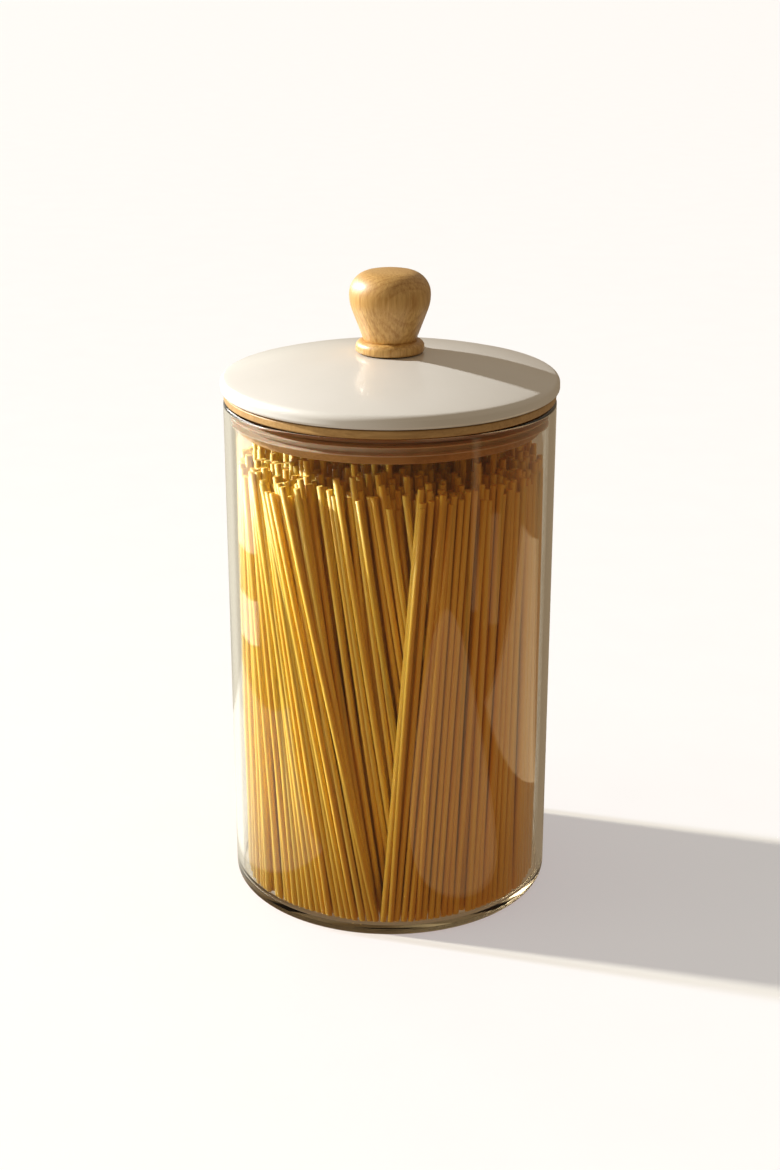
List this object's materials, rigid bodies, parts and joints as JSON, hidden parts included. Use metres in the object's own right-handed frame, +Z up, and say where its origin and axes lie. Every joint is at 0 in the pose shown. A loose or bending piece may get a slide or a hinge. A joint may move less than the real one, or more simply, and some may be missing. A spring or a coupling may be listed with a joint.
{
  "type": "lidded canister",
  "caption": "Straight glass canister with a lift-off lid: wooden plug with a silicone seal, domed glazed cover and turned wooden knob.",
  "frame": {"origin": "centre of the jar's base, on the surface that it stands on", "axes": "+Z up along the jar's axis; X and Y are alike, because every piece is turned about Z"},
  "size_m": [0.1118, 0.1118, 0.214],
  "materials": {
    "clear_glass": "polished",
    "turned_wood": "satin oil",
    "knob_wood": "satin lacquer",
    "silicone": "translucent matte",
    "dark_pad": "matte",
    "cream_glaze": "satin glaze",
    "brass": "turned",
    "steel": "zinc plated"
  },
  "bodies": {
    "jar": {"glass_jar": "clear_glass"},
    "seal": {"seal_ring": "silicone"},
    "lid": {"lid_base": "turned_wood", "cover_pad": "dark_pad", "cover_plate": "cream_glaze", "knob_pad": "dark_pad", "knob": "knob_wood", "knob_insert": "brass", "screw_washer": "steel", "knob_screw": "steel"}
  },
  "joints": [
    {"name": "lid_lift", "type": "slide", "parent": "jar", "child": "seal", "axis": [0, 0, 1], "range_m": [0, 0.12]},
    {"name": "lid_turn", "type": "hinge", "parent": "seal", "child": "lid", "pos_m": [0, 0, 0.168], "axis": [0, 0, 1], "continuous": true}
  ]
}
